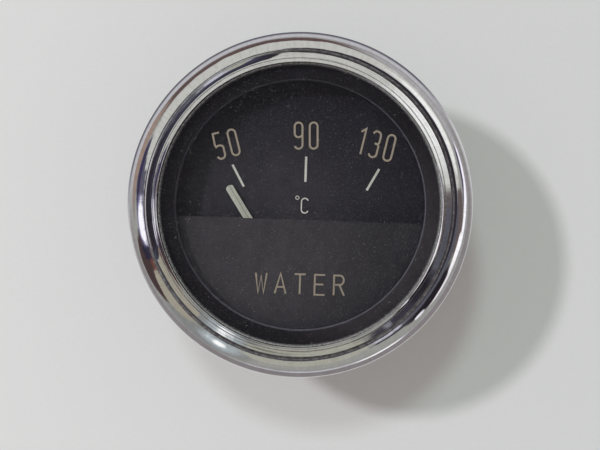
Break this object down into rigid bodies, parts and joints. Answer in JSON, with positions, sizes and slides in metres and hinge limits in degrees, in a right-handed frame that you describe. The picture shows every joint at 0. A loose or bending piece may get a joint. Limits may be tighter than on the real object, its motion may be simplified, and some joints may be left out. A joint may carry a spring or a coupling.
{
  "type": "water temperature gauge",
  "caption": "Round electric water temperature gauge with a chromed bezel, a half-masked black dial, a swinging pointer, rear mounting studs and a pull-out lamp holder.",
  "frame": {"origin": "centre of the plane that the bezel seats on a panel with, on the axis of the round case", "axes": "+Z out of the dial, +Y to 12 o'clock, +X to 3 o'clock; everything behind the panel is below zero"},
  "size_m": [0.06, 0.06, 0.0586],
  "materials": {
    "chrome": "bright plating on brass, lightly pitted",
    "clear_glass": "clear, dusty",
    "black_rubber": "matt",
    "ring_black": "satin black paint, dusty",
    "dial_black": "matt black paint",
    "mask_black": "matt black paint",
    "pointer_paint": "aged cream paint",
    "brass": "dull",
    "tin_brass": "dull, tinned in places",
    "steel": "bright screws and plates",
    "soft_iron": "dark, annealed",
    "zinc_case": "zinc plated and passivated",
    "copper_wire": "enamelled copper",
    "bobbin_moulding": "natural moulding",
    "insulator": "brown laminate",
    "bulb_clear": "clear"
  },
  "bodies": {
    "gauge": {"bezel": "chrome", "glass": "clear_glass", "glass_gasket": "black_rubber", "spacer_ring": "ring_black", "mask_plate": "mask_black", "dial_plate": "dial_black", "dial_screws": "steel", "dial_standoffs": "brass", "stop_pins": "steel", "front_bridge": "steel", "front_bearing": "brass", "bridge_posts": "brass", "base_plate": "steel", "rear_bearing": "brass", "left_bobbin": "bobbin_moulding", "right_bobbin": "bobbin_moulding", "left_winding": "copper_wire", "right_winding": "copper_wire", "left_core": "soft_iron", "right_core": "soft_iron", "left_bracket": "steel", "right_bracket": "steel", "bracket_screws": "steel", "post_screws": "steel", "case_can": "zinc_case", "frame_pillars": "brass", "pillar_screws": "steel", "mounting_studs": "zinc_case", "terminal_board": "insulator", "terminal_tabs": "tin_brass", "terminal_rivets": "tin_brass", "terminal_bushes": "insulator", "solder_tags": "tin_brass", "coil_leads": "copper_wire"},
    "pointer_movement": {"pointer": "pointer_paint", "pointer_boss": "brass", "pointer_counterweight": "brass", "pointer_staff": "steel", "armature": "soft_iron"},
    "lamp_holder": {"lamp_shell": "zinc_case", "lamp_insulator": "insulator", "lamp_tab": "tin_brass", "bulb_base": "tin_brass", "bulb_glass": "bulb_clear"}
  },
  "joints": [
    {"name": "pointer_sweep", "type": "hinge", "parent": "gauge", "child": "pointer_movement", "pos_m": [0, -0.0172, -0.0191], "axis": [0, 0, -1], "range_deg": [0, 65.3]},
    {"name": "lamp_holder_pull", "type": "slide", "parent": "gauge", "child": "lamp_holder", "axis": [0, 0, -1], "range_m": [0, 0.018]}
  ]
}
